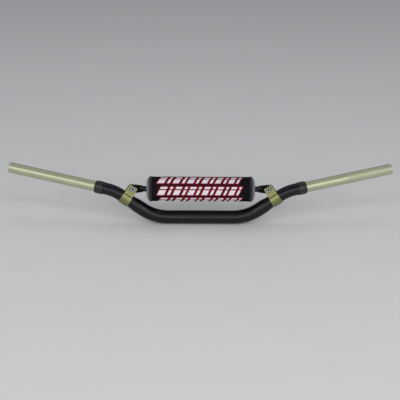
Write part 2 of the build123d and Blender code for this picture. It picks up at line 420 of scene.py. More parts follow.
@dataclass(frozen=True)
class CoatedCloth(Finish):
    """Black coated cloth with a fine plain weave and slanting printed bars."""

    colour: Colour
    ink: Colour
    outline: Colour
    thread: float = 0.62 * MM
    thread_depth: float = 0.045 * MM
    scuff_scale: float = 260.0
    cloud_scale: float = 45.0
    shine: float = 0.06
    bars: Bars = field(default_factory=Bars)

    def apply(self, paint: Paint, point: Socket) -> None:
        """A weave, printed ink that is a little worn on the threads, and soft scuffs."""
        length = paint.node("ShaderNodeSeparateXYZ", {0: point}, output="X")
        round_it = paint.along("round")
        turns = 2 * pi / self.thread
        weave = (length * turns).sine() * (round_it * turns).sine() * 0.5 + 0.5
        scuff = paint.noise(point, self.scuff_scale, 4.0, 0.65)
        cloud = paint.noise(point, self.cloud_scale, 2.0)
        filled, edged = self.bars.masks(paint, length, round_it)
        kept = 1.0 - (scuff.between(0.66, 0.80) * (1.0 - weave * 0.6)) * 0.8
        base = paint.mix(scuff.between(0.45, 0.75) * 0.5, self.colour, tint(self.colour, 1.9))
        base = paint.mix(weave * 0.35, base, tint(self.colour, 0.55))
        ink = paint.mix(cloud * 0.3 + (1.0 - weave) * 0.12, self.ink, tint(self.ink, 0.72))
        printed = paint.mix(edged * kept, base, self.outline)
        printed = paint.mix(filled * kept, printed, ink)
        paint.surface(
            Base_Color=printed,
            Roughness=0.62 - edged * 0.14 + (scuff - 0.5) * 0.25,
            Specular_IOR_Level=self.shine,
            Normal=paint.relief(weave + edged * 0.35, self.thread_depth),
        )


@dataclass(frozen=True)
class WovenTape(Finish):
    """Woven binding tape, ribbed across its width."""

    colour: Colour
    rib: float = 0.7 * MM
    rib_depth: float = 0.11 * MM
    turn: float = 2.6 * MM
    lean: float = 2.0 * MM
    fuzz_scale: float = 1400.0
    dust_scale: float = 160.0

    def apply(self, paint: Paint, point: Socket) -> None:
        """Slanting ribs that change hand along the middle of the tape, painted lighter on their crests as a highlight
        and darker in their grooves as shade, and fuzz.
        """
        length = paint.node("ShaderNodeSeparateXYZ", {0: point}, output="X")
        zigzag = ((length * (1.0 / self.turn)).fraction() - 0.5).absolute() * self.lean
        ribs = ((paint.along("round") + zigzag) * (2 * pi / self.rib)).sine() * 0.5 + 0.5
        fuzz = paint.noise(point, self.fuzz_scale, 3.0, 0.7)
        dust = paint.noise(point, self.dust_scale, 4.0, 0.6).between(0.5, 0.78)
        # Painted highlight and shade: rib crests lighter, grooves darker.
        shade = paint.mix(ribs, tint(self.colour, 0.6), tint(self.colour, 1.3))
        paint.surface(
            Base_Color=paint.mix(dust * 0.3, shade, tint(self.colour, 2.2)),
            Roughness=0.86,
            Specular_IOR_Level=0.3,
            Sheen_Weight=0.15,
            Sheen_Roughness=0.45,
            Normal=paint.relief(ribs * 0.8 + fuzz * 0.35, self.rib_depth),
        )


@dataclass(frozen=True)
class HookTape(Finish):
    """Hook-and-loop tape, dense with short stiff hooks."""

    colour: Colour
    hook_scale: float = 1000.0
    hook_depth: float = 0.25 * MM
    lint_scale: float = 520.0

    def apply(self, paint: Paint, point: Socket) -> None:
        """Tight dots, painted lighter on their tops as a highlight and darker between them as shade, with lint caught
        between them.
        """
        hooks = 1.0 - paint.dots(point, self.hook_scale, 0.25).between(0.1, 0.5)
        lint = paint.noise(point, self.lint_scale, 4.0, 0.7).between(0.6, 0.72)
        # Painted highlight and shade: hook tops lighter, the gaps between them darker.
        shade = paint.mix(hooks, tint(self.colour, 0.5), tint(self.colour, 1.8))
        paint.surface(
            Base_Color=paint.mix(lint * 0.4, shade, tint(self.colour, 7.0)),
            Roughness=0.7,
            Normal=paint.relief(hooks, self.hook_depth),
        )


@dataclass(frozen=True)
class SewingThread(Finish):
    """Twisted polyester thread."""

    colour: Colour
    strand_scale: float = 900.0
    strand_depth: float = 0.05 * MM

    def apply(self, paint: Paint, point: Socket) -> None:
        """Fine twisted strands, painted lighter on their crests as a highlight and darker between them as shade, with
        a soft sheen.
        """
        waves = {"Vector": point, "Scale": self.strand_scale, "Distortion": 1.5}
        strands = paint.node("ShaderNodeTexWave", waves, output="Fac")
        # Painted highlight and shade: strand crests lighter, the creases between them darker.
        paint.surface(
            Base_Color=paint.mix(strands, tint(self.colour, 0.55), tint(self.colour, 1.25)),
            Roughness=0.55,
            Sheen_Weight=0.3,
            Sheen_Roughness=0.4,
            Normal=paint.relief(strands, self.strand_depth),
        )


SAGE = Anodised(
    "sage_anodised", "sage_anodised", (0.50, 0.512, 0.35, 1.0), (0.74, 0.74, 0.70, 1.0), 0.72, 0.42, rings=0.35
)
SAGE_KNURL = Anodised(
    "sage_anodised", "sage_knurled", (0.49, 0.495, 0.345, 1.0), (0.70, 0.70, 0.64, 1.0), 0.50, 0.52, wear_and_highlight=0.7
)
BLACK_TUBE = Anodised(
    "black_anodised", "black_tube", (0.0035, 0.0032, 0.0048, 1.0), (0.12, 0.12, 0.12, 1.0), 0.04, 0.24,
    grit=0.004 * MM, rings=0.05, wear_and_highlight=0.2, shine=0.34,
)
COLLAR_GREY = Anodised(
    "grey_anodised", "grey_anodised", (0.020, 0.0195, 0.022, 1.0), (0.20, 0.20, 0.20, 1.0), 0.25, 0.40,
    grit=0.02 * MM, shine=0.55,
)
# Its wide, even lighter edge band is partly wear and partly a painted highlight along the clamp's edges.
CLAMP_OLIVE = Anodised(
    "olive_anodised", "olive_anodised", (0.222, 0.224, 0.090, 1.0), (0.60, 0.60, 0.44, 1.0), 0.80, 0.34,
    edge=2.0 * MM, wear_and_highlight=0.55, even=0.75,
)
# Painted highlight: the chamfers along the clamp's edges are painted a lighter olive for the light they catch.
CLAMP_RIM_HIGHLIGHT = Anodised(
    "olive_anodised", "olive_rim_highlight", (0.46, 0.46, 0.29, 1.0), (0.62, 0.62, 0.52, 1.0), 0.85, 0.30,
    edge=0.4 * MM, wear_and_highlight=0.6,
)
# Painted shade: the recesses round the bolt are painted darker for the shade that falls in them.
CLAMP_RECESS_SHADE = Anodised(
    "olive_anodised", "olive_recess_shade", (0.060, 0.066, 0.024, 1.0), (0.20, 0.20, 0.14, 1.0), 0.80, 0.42,
    edge=0.3 * MM, wear_and_highlight=0.3,
)
BLACK_FITTING = Anodised(
    "black_fitting", "black_fitting", (0.0035, 0.0035, 0.0045, 1.0), (0.10, 0.10, 0.10, 1.0), 0.0, 0.45,
    wear_and_highlight=0.05, shine=0.05,
)
BRIGHT_STEEL = Steel("bright_steel", "bright_steel", (0.34, 0.34, 0.365, 1.0), 0.32)
PIN_STEEL = Steel("bright_steel", "pin_steel", (0.13, 0.13, 0.135, 1.0), 0.42)
# Painted shade: the hexagon socket's inside is painted near black for the shade in it.
SOCKET_PAINTED_SHADE = Steel("bright_steel", "socket_painted_shade", (0.030, 0.030, 0.036, 1.0), 0.55)
PAD_FOAM = OpenFoam("grey_foam", "grey_foam", (0.20, 0.20, 0.205, 1.0))
PAD_CLOTH = CoatedCloth(
    "pad_cover", "pad_cover", (0.0065, 0.0062, 0.0072, 1.0), (0.90, 0.84, 0.88, 1.0), (0.22, 0.003, 0.022, 1.0)
)
PAD_TAPE = WovenTape("pad_binding", "pad_binding", (0.023, 0.024, 0.028, 1.0))
PAD_HOOKS = HookTape("hook_tape", "hook_tape", (0.010, 0.010, 0.011, 1.0))
PAD_THREAD = SewingThread("pad_binding", "pad_thread", (0.055, 0.056, 0.062, 1.0))


# Making pieces

class Shading(Enum):
    """How a piece's faces are shaded."""

    SMOOTH = "smooth"
    BY_ANGLE = "by_angle"


def placed(name: str, data: bpy.types.ID) -> bpy.types.Object:
    """A new object of the scene that shows the data."""
    made = bpy.data.objects.new(name, data)
    bpy.context.scene.collection.objects.link(made)
    return made


def solidified(mesh: bmesh.types.BMesh, name: str, finishes: Sequence[Finish]) -> bpy.types.Object:
    """A new object of the scene made of a finished bmesh, which is freed, with its finishes' materials."""
    data = bpy.data.meshes.new(name)
    mesh.to_mesh(data)
    mesh.free()
    for finish in finishes:
        data.materials.append(material_of(finish))
    return placed(name, data)


def settle(
    mesh: bmesh.types.BMesh,
    name: str,
    finishes: Sequence[Finish],
    shading: Shading = Shading.BY_ANGLE,
    nodes: Sequence[str] = (),
    flat: Collection[bmesh.types.BMFace] = (),
) -> bpy.types.Object:
    """Turns a finished bmesh into a piece of the part.

    Args:
        mesh: The shape, in place, which is freed.
        name: The piece's name.
        finishes: Its finishes, in the order of its faces' material numbers.
        shading: How its faces are shaded.
        nodes: The CAD nodes that it stands for.
        flat: The faces that are shaded flat all the same.

    Returns:
        The piece.
    """
    for face in mesh.faces:
        face.smooth = face not in flat
    for edge in mesh.edges:
        edge.smooth = shading is Shading.SMOOTH or edge.calc_face_angle(0.0) < CREASE
    piece = solidified(mesh, name, finishes)
    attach(piece, "root")
    if nodes:
        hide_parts(*nodes)
    log.info("%s: %d faces", name, len(piece.data.polygons))
    return piece


def refined(
    node: str,
    finish: Finish,
    others: Sequence[Finish] = (),
    choose: Callable[[bmesh.types.BMFace], int] = lambda face: 0,
) -> bpy.types.Object:
    """A welded, smoothly shaded copy of a CAD node, which stands for it.

    Args:
        node: The CAD node's name.
        finish: The copy's finish.
        others: Further finishes that some of its faces have.
        choose: The number of a face's finish.

    Returns:
        The piece.
    """
    mesh = bmesh.new()
    mesh.from_mesh(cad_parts[node].data)
    bmesh.ops.remove_doubles(mesh, verts=mesh.verts, dist=WELD)
    for face in mesh.faces:
        face.material_index = choose(face)
    piece = settle(mesh, f"{node}_dressed", [finish, *others], nodes=[node])
    weigh(piece)
    return piece


def weigh(piece: bpy.types.Object) -> None:
    """Lets a piece's flat faces lead the shading of the rounded ones beside them."""
    leading = piece.modifiers.new("flat_faces_lead", "WEIGHTED_NORMAL")
    leading.keep_sharp = True


def only(kind: type, geometry: Sequence[object]) -> list:
    """The elements of one kind in an operator's result."""
    return [element for element in geometry if isinstance(element, kind)]


def edges_within(verts: Sequence[bmesh.types.BMVert]) -> list[bmesh.types.BMEdge]:
    """The edges whose two ends are both among the vertices, in the vertices' order."""
    held = set(verts)
    around = dict.fromkeys(edge for vert in verts for edge in vert.link_edges)
    return [edge for edge in around if edge.verts[0] in held and edge.verts[1] in held]


def ends_of(edges: Sequence[bmesh.types.BMEdge]) -> list[bmesh.types.BMVert]:
    """The vertices at the edges' ends, each once and in the edges' order."""
    return list(dict.fromkeys(vert for edge in edges for vert in edge.verts))


def spun(
    mesh: bmesh.types.BMesh,
    verts: list[bmesh.types.BMVert],
    edges: list[bmesh.types.BMEdge],
    centre: Vector,
    axis: Vector,
    angle: float,
    steps: int = 1,
) -> tuple[list[bmesh.types.BMVert], list[bmesh.types.BMEdge]]:
    """Spins a profile about an axis, with faces behind it.

    Args:
        mesh: The mesh that holds the profile.
        verts: The profile's vertices.
        edges: Its edges.
        centre: A point on the axis.
        axis: The axis's way.
        angle: How far the profile is spun.
        steps: In how many steps.

    Returns:
        The profile's vertices and edges at the end.
    """
    grown = bmesh.ops.spin(
        mesh, geom=verts + edges, cent=centre, axis=axis, angle=angle, steps=steps, use_merge=False,
        use_duplicate=False,
    )["geom_last"]
    last = only(bmesh.types.BMVert, grown)
    return last, edges_within(last)


def cap(mesh: bmesh.types.BMesh, *profiles: list[bmesh.types.BMEdge]) -> None:
    """Fills closed profiles and turns the faces of the body that they close outwards."""
    for edges in profiles:
        bmesh.ops.triangle_fill(mesh, edges=edges, use_beauty=True)
    bmesh.ops.recalc_face_normals(mesh, faces=mesh.faces)


# Tubes

@dataclass
class Route:
    """The bar's centreline and the clamps' place on it, on the right-hand side; the left-hand side mirrors it."""

    low_corner: Vector = field(default_factory=lambda: Vector((0.0979, 0.0, 0.0)))
    high_corner: Vector = field(default_factory=lambda: Vector((0.1806, 0.0040, 0.0575)))
    tip: Vector = field(default_factory=lambda: Vector((0.404, 0.0475, 0.0924)))
    low_radius: float = 0.0940
    high_radius: float = 0.0700
    clamp_width: float = 21.2 * MM
    clamp_to_bend: float = 1.6 * MM

    @property
    def riser(self) -> Vector:
        """The way up the riser, on the right."""
        return (self.high_corner - self.low_corner).normalized()

    @property
    def grip(self) -> Vector:
        """The way out along the grip, on the right."""
        return (self.tip - self.high_corner).normalized()

    @property
    def low_tangent(self) -> float:
        """From the lower corner to where its bend begins."""
        return self.tangent(self.low_radius, Vector((1, 0, 0)), self.riser)

    @property
    def high_tangent(self) -> float:
        """From the upper corner to where its bend begins."""
        return self.tangent(self.high_radius, self.riser, self.grip)

    @property
    def riser_length(self) -> float:
        """The straight run between the two bends."""
        return (self.high_corner - self.low_corner).length - self.low_tangent - self.high_tangent

    @staticmethod
    def tangent(radius: float, way_in: Vector, way_out: Vector) -> float:
        """From a corner to where a bend of that radius begins."""
        half = way_in.angle(way_out) / 2
        return radius * sin(half) / cos(half)

    @staticmethod
    def left(way: Vector) -> Vector:
        """A point or way on the left-hand side."""
        return Vector((-way.x, way.y, way.z))


class Grower:
    """Grows a round wall ring by ring, along straight runs and tangent bends."""

    def __init__(self, mesh: bmesh.types.BMesh, start: Vector, way: Vector, radius: float, sides: int) -> None:
        """Lays the first ring.

        Args:
            mesh: The mesh that the wall grows in.
            start: The ring's centre.
            way: The way that the wall grows.
            radius: The ring's radius.
            sides: Its number of vertices.
        """
        self.mesh = mesh
        self.layer = mesh.verts.layers.float.get("along") or mesh.verts.layers.float.new("along")
        self.centre = start.copy()
        self.way = way.normalized()
        self.radius = radius
        self.sides = sides
        self.length = 0.0
        place = Matrix.Translation(start) @ self.way.to_track_quat("Z", "Y").to_matrix().to_4x4()
        self.verts = bmesh.ops.create_circle(mesh, segments=sides, radius=radius, matrix=place)["verts"]
        self.edges = edges_within(self.verts)
        self.first = list(self.edges)

    def step(self, length: float, radius: Optional[float] = None) -> None:
        """Grows one straight step, to another radius if one is given."""
        grown = bmesh.ops.extrude_edge_only(self.mesh, edges=self.edges)["geom"]
        self.verts = only(bmesh.types.BMVert, grown)
        self.edges = edges_within(self.verts)
        bmesh.ops.translate(self.mesh, vec=self.way * length, verts=self.verts)
        self.centre += self.way * length
        self.length += length
        if radius is not None:
            self.resize(self.verts, radius / self.radius)
            self.radius = radius
        for vert in self.verts:
            vert[self.layer] = self.length

    def resize(self, verts: Sequence[bmesh.types.BMVert], factor: float) -> None:
        """Brings vertices of the last ring nearer to its centre or further out."""
        bmesh.ops.scale(self.mesh, vec=(factor,) * 3, space=Matrix.Translation(-self.centre), verts=verts)

    def reach(self, vert: bmesh.types.BMVert, radius: float) -> None:
        """Brings one vertex of the last ring to a radius of its own."""
        vert.co = self.centre + (vert.co - self.centre).normalized() * radius

    def turn_of(self, vert: bmesh.types.BMVert, zero: Vector) -> float:
        """How far round the axis a vertex of the last ring stands, from the way that counts as zero."""
        arm = vert.co - self.centre
        return atan2(arm.dot(self.way.cross(zero)), arm.dot(zero))

    def bend(self, onward: Vector, radius: float, step: float = radians(3.0)) -> None:
        """Grows round a bend until the wall runs the new way."""
        angle = self.way.angle(onward)
        axis = self.way.cross(onward).normalized()
        pivot = self.centre + axis.cross(self.way) * radius
        steps = ceil(angle / step)
        turn = Matrix.Rotation(angle / steps, 3, axis)
        for _ in range(steps):
            self.verts, self.edges = spun(self.mesh, self.verts, self.edges, pivot, axis, angle / steps)
            self.centre = pivot + turn @ (self.centre - pivot)
            self.length += radius * angle / steps
            for vert in self.verts:
                vert[self.layer] = self.length
        self.way = onward.normalized()


@dataclass
class BarTubes:
    """The two tubes of the bar and the collars that close the outer one."""

    route: Route = field(default_factory=Route)
    sides: int = 96
    grip_radius: float = 11.1 * MM
    bore_radius: float = 8.5 * MM
    end_chamfer: float = 0.6 * MM
    groove_radius: float = 10.7 * MM
    outer_radius: float = 14.3 * MM
    outer_end_radius: float = 12.7 * MM
    outer_bore_radius: float = 11.25 * MM
    outer_chamfer: float = 0.5 * MM
    past_bend: float = 6.3 * MM
    swage_length: float = 12.0 * MM
    swage_to_clamp: float = 4.0 * MM
    collar_length: float = 17.5 * MM
    grip_from_collar: float = 0.5 * MM
    knurl_start: float = 98.5 * MM
    knurl_end: float = 2.6 * MM
    knurl_depth: float = 0.22 * MM

    def build(self) -> list[bpy.types.Object]:
        """Makes the tubes and collars."""
        collars = [refined(f"collar_{side}", COLLAR_GREY) for side in ("left", "right")]
        return [self.inner_tube(), self.outer_tube(), *collars]

    def follow(self, wall: Grower, first: float, riser: Sequence[tuple[float, float]]) -> None:
        """Grows a wall from one shoulder of the bar to the other.

        Args:
            wall: The wall, which has reached the left upper bend.
            first: The radius before the swage.
            riser: The steps up the right riser, each a length and the radius at its end.
        """
        route = self.route
        wall.bend(-Route.left(route.riser), route.high_radius)
        left_riser = list(reversed(riser))
        radii = [radius for _, radius in left_riser[1:]] + [first]
        for (length, _), radius in zip(left_riser, radii):
            wall.step(length, radius)
        wall.bend(Vector((1, 0, 0)), route.low_radius)
        wall.step(2 * (route.low_corner.x - route.low_tangent))
        wall.bend(route.riser, route.low_radius)
        for length, radius in riser:
            wall.step(length, radius)
        wall.bend(route.grip, route.high_radius)

    def bore(self, mesh: bmesh.types.BMesh, start: Vector, radius: float, end_length: float) -> Grower:
        """Grows a tube's bore, whose faces look the other way than its outer wall's.

        Args:
            mesh: The mesh that it grows in, which is still empty.
            start: The middle of the tube's left end.
            radius: The bore's radius.
            end_length: From each end of the tube to the upper bend.

        Returns:
            The bore.
        """
        wall = Grower(mesh, start, -Route.left(self.route.grip), radius, self.sides)
        wall.step(end_length)
        self.follow(wall, radius, [(self.route.riser_length, radius)])
        wall.step(end_length)
        bmesh.ops.reverse_faces(mesh, faces=mesh.faces)
        return wall

    def groove(self, wall: Grower) -> None:
        """Grows the stretch of the inner tube under a collar, which is a little thinner."""
        wall.step(0.0, self.groove_radius)
        wall.step(self.collar_length + self.grip_from_collar)
        wall.step(0.0, self.grip_radius)

    def inner_tube(self) -> bpy.types.Object:
        """The full-length tube, knurled on the outer half of its right grip."""
        route = self.route
        mesh = bmesh.new()
        start = Route.left(route.tip)
        straight = (route.tip - route.high_corner).length - route.high_tangent
        smooth = straight - self.past_bend - self.collar_length - self.grip_from_collar
        radius = self.grip_radius
        bore = self.bore(mesh, start, self.bore_radius, straight)

        outer = Grower(mesh, start, -Route.left(route.grip), radius - self.end_chamfer, self.sides)
        outer.step(self.end_chamfer, radius)
        outer.step(smooth - self.end_chamfer)
        self.groove(outer)
        outer.step(self.past_bend)
        self.follow(outer, radius, [(route.riser_length, radius)])
        outer.step(self.past_bend)
        self.groove(outer)
        outer.step(smooth - self.knurl_start)
        before = set(mesh.faces)
        self.knurl(outer, self.knurl_start - self.knurl_end)
        knurled = set(mesh.faces) - before
        outer.step(self.knurl_end - self.end_chamfer)
        outer.step(self.end_chamfer, radius - self.end_chamfer)

        self.close(mesh, outer, bore)
        for face in knurled:
            face.material_index = 1
        return settle(mesh, "inner_tube_dressed", [SAGE, SAGE_KNURL], nodes=["inner_tube"], flat=knurled)

    def knurl(self, wall: Grower, length: float) -> None:
        """Grows a stretch whose vertices stand high and low by turns, which makes a mesh of small pyramids."""
        rows = round(length * wall.sides / (2 * pi * wall.radius))
        zero = (wall.verts[0].co - wall.centre).normalized()
        for row in range(rows):
            wall.step(length / rows)
            for vert in wall.verts:
                place = round(wall.turn_of(vert, zero) * wall.sides / (2 * pi))
                low = (place + row) % 2 and row < rows - 1
                wall.reach(vert, wall.radius - self.knurl_depth * low)

    def outer_tube(self) -> bpy.types.Object:
        """The thick tube over the middle, swaged down before each clamp."""
        route = self.route
        mesh = bmesh.new()
        reach = route.high_tangent + self.past_bend
        start = Route.left(route.high_corner + route.grip * reach)
        narrow = self.swage_to_clamp + route.clamp_width + route.clamp_to_bend
        riser = [
            (route.riser_length - narrow - self.swage_length, self.outer_radius),
            (self.swage_length, self.outer_end_radius),
            (narrow, self.outer_end_radius),
        ]
        end = self.outer_end_radius - self.outer_chamfer
        bore = self.bore(mesh, start, self.outer_bore_radius, self.past_bend)

        outer = Grower(mesh, start, -Route.left(route.grip), end, self.sides)
        outer.step(self.outer_chamfer, self.outer_end_radius)
        outer.step(self.past_bend - self.outer_chamfer)
        self.follow(outer, self.outer_radius, riser)
        outer.step(self.past_bend - self.outer_chamfer)
        outer.step(self.outer_chamfer, end)
        self.close(mesh, outer, bore)
        return settle(mesh, "outer_tube_dressed", [BLACK_TUBE], nodes=["outer_tube"])

    @staticmethod
    def close(mesh: bmesh.types.BMesh, outer: Grower, bore: Grower) -> None:
        """Joins a tube's outer wall to its bore, whose faces look the other way, at both ends."""
        bmesh.ops.bridge_loops(mesh, edges=outer.first + bore.first)
        bmesh.ops.bridge_loops(mesh, edges=outer.edges + bore.edges)
        bmesh.ops.recalc_face_normals(mesh, faces=mesh.faces)


# Clamps and crossbar

@dataclass
class ClampSet:
    """One clamp with its bolt, washer and nut."""

    side: str
    route: Route = field(default_factory=Route)
    sides: int = 96
    shank_radius: float = 3.0 * MM
    tip_chamfer: float = 0.7 * MM
    head_radius: float = 5.0 * MM
    head_height: float = 6.0 * MM
    head_chamfer: float = 0.7 * MM
    knurl_depth: float = 0.16 * MM
    socket_flats: float = 5.0 * MM
    socket_depth: float = 3.0 * MM
    socket_point: float = 0.9 * MM
    socket_tip_share: float = 0.08
    plain_share: float = 0.6
    recess_radius: float = 6.35 * MM
    rim_facing: tuple[float, float] = (0.3, 0.9)

    def build(self) -> list[bpy.types.Object]:
        """Makes the clamp and what goes through it."""
        return [
            refined(f"clamp_{self.side}", CLAMP_OLIVE, [CLAMP_RIM_HIGHLIGHT, CLAMP_RECESS_SHADE], self.finish_number),
            refined(f"clamp_washer_{self.side}", BRIGHT_STEEL),
            refined(f"clamp_nut_{self.side}", BRIGHT_STEEL),
            self.bolt(),
        ]

    def finish_number(self, face: bmesh.types.BMFace) -> int:
        """0 for a plain face, 1 for the chamfers along the clamp's edges, painted lighter as a highlight, and 2 for
        the recesses at the bolt, painted darker as shade.
        """
        middle, way = self.bolt_axis
        arms = [vert.co - middle for vert in face.verts]
        if max((arm - way * arm.dot(way)).length for arm in arms) < self.recess_radius:
            return 2
        # Chamfers that face partly along the riser take the painted highlight.
        along = self.route.riser if self.side == "right" else Route.left(self.route.riser)
        low, high = self.rim_facing
        return int(low < abs(face.normal.dot(along)) < high)

    @functools.cached_property
    def bolt_axis(self) -> tuple[Vector, Vector]:
        """The middle of the crossbar's eye and the way towards the bolt's head."""
        route = self.route
        centre = route.high_corner - route.riser * (route.high_tangent + route.clamp_to_bend + route.clamp_width / 2)
        low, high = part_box("crossbar_tube")
        across = Vector((0.0, (low.y + high.y) / 2 - centre.y, (low.z + high.z) / 2 - centre.z))
        reach = across - Vector((across.dot(route.riser) / route.riser.x, 0.0, 0.0))
        way = route.riser.cross(reach.normalized())
        middle = centre + reach
        return (middle, way) if self.side == "right" else (Route.left(middle), Route.left(way))

    def bolt(self) -> bpy.types.Object:
        """A cap screw with a fluted head and a hexagon socket painted dark as shade."""
        middle, way = self.bolt_axis
        node = f"clamp_bolt_{self.side}"
        heights = [(v.co - middle).dot(way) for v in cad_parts[node].data.vertices]
        mesh = bmesh.new()
        tip = middle + way * min(heights)
        wall = Grower(mesh, tip, way, self.shank_radius - self.tip_chamfer, self.sides)
        wall.step(self.tip_chamfer, self.shank_radius)
        wall.step(max(heights) - min(heights) - self.head_height - self.tip_chamfer)
        wall.step(0.0, self.head_radius)
        plain = self.head_chamfer * self.plain_share
        runout = self.knurl_depth
        fluted = self.head_height - self.head_chamfer - 2 * plain - 2 * runout
        for length, flute in ((plain, 0.0), (runout, 1.0), (fluted, 1.0), (runout, 0.0), (plain, 0.0)):
            wall.step(length)
            for number, vert in enumerate(self.round_order(wall)):
                wall.reach(vert, wall.radius - self.knurl_depth * flute * (number % 2))
        wall.step(self.head_chamfer, self.head_radius - self.head_chamfer)
        wall.step(0.0)
        half = self.socket_flats / 2
        for number, vert in enumerate(self.round_order(wall)):
            turn = 2 * pi * number / self.sides
            corner = (turn + pi / 6) % (pi / 3) - pi / 6
            wall.reach(vert, half / cos(corner))
        before = set(mesh.faces)
        wall.step(-self.socket_depth)
        wall.step(-self.socket_point)
        wall.resize(wall.verts, self.socket_tip_share)
        bmesh.ops.contextual_create(mesh, geom=wall.edges)
        socket = set(mesh.faces) - before
        bmesh.ops.contextual_create(mesh, geom=wall.first)
        bmesh.ops.recalc_face_normals(mesh, faces=mesh.faces)
        # The socket's faces take the painted shade.
        for face in socket:
            face.material_index = 1
        return settle(mesh, f"{node}_dressed", [BRIGHT_STEEL, SOCKET_PAINTED_SHADE], nodes=[node])

    @staticmethod
    def round_order(wall: Grower) -> list[bmesh.types.BMVert]:
        """The last ring's vertices in their order round the axis."""
        zero = wall.way.orthogonal().normalized()
        return sorted(wall.verts, key=lambda vert: wall.turn_of(vert, zero))


@dataclass
class Crossbar:
    """The brace between the clamps."""

    def build(self) -> list[bpy.types.Object]:
        """Makes the crossbar, its two end fittings and their cross pins."""
        made = [refined("crossbar_tube", BLACK_TUBE)]
        for side in ("left", "right"):
            made.append(refined(f"crossbar_end_{side}", BLACK_FITTING))
            made.append(refined(f"crossbar_pin_{side}", PIN_STEEL))
        return made


# Pad

@dataclass
class Wrap:
    """The way of a cloth once round the foam, over its own start and along as a lap. Angles go up from the rear."""

    centre: Vector
    start: float = radians(-15)
    turn: float = radians(334)
    ramp: float = radians(26)
    lap: float = radians(45)
    rise: float = 2.5 * MM
    pace: float = radians(2.5)

    def rise_at(self, angle: float) -> float:
        """How far the cloth stands off the foam's own circle at an angle."""
        share = min(max((angle - self.start - self.turn) / self.ramp, 0.0), 1.0)
        return self.rise * share * share * (3 - 2 * share)

    def angles(self) -> list[float]:
        """The angles at which the cloth has a row of vertices."""
        whole = self.turn + self.ramp + self.lap
        rows = ceil(whole / self.pace)
        return [self.start + whole * row / rows for row in range(rows + 1)]

    def outwards(self, angle: float) -> Vector:
        """The way out from the pad's axis at an angle."""
        return Vector((0.0, cos(angle), sin(angle)))

    def arm(self, point: Vector) -> Vector:
        """The way straight out from the pad's axis to a point."""
        return Vector((0.0, point.y - self.centre.y, point.z - self.centre.z))

    def point(self, x: float, angle: float, radius: float) -> Vector:
        """A point on the wrapped cloth."""
        return Vector((x, self.centre.y, self.centre.z)) + self.outwards(angle) * (radius + self.rise_at(angle))

    def carry(
        self, mesh: bmesh.types.BMesh, edges: list[bmesh.types.BMEdge], radius: float
    ) -> list[bmesh.types.BMEdge]:
        """Carries a profile all the way along the wrap.

        Args:
            mesh: The mesh that holds the profile.
            edges: The profile's edges, which lie at the start angle.
            radius: The radius at which the distance round the pad is counted.

        Returns:
            The profile's edges at the end.
        """
        layer = mesh.verts.layers.float.new("round")
        angles = self.angles()
        length = 0.0
        for before, after in zip(angles, angles[1:]):
            verts, edges = spun(mesh, ends_of(edges), edges, self.centre, Vector((1, 0, 0)), after - before)
            climb = self.rise_at(after) - self.rise_at(before)
            bmesh.ops.translate(mesh, vec=self.outwards(after) * climb, verts=verts)
            length += (after - before) * (radius + self.rise_at(after))
            for vert in verts:
                vert[layer] = length
        return edges


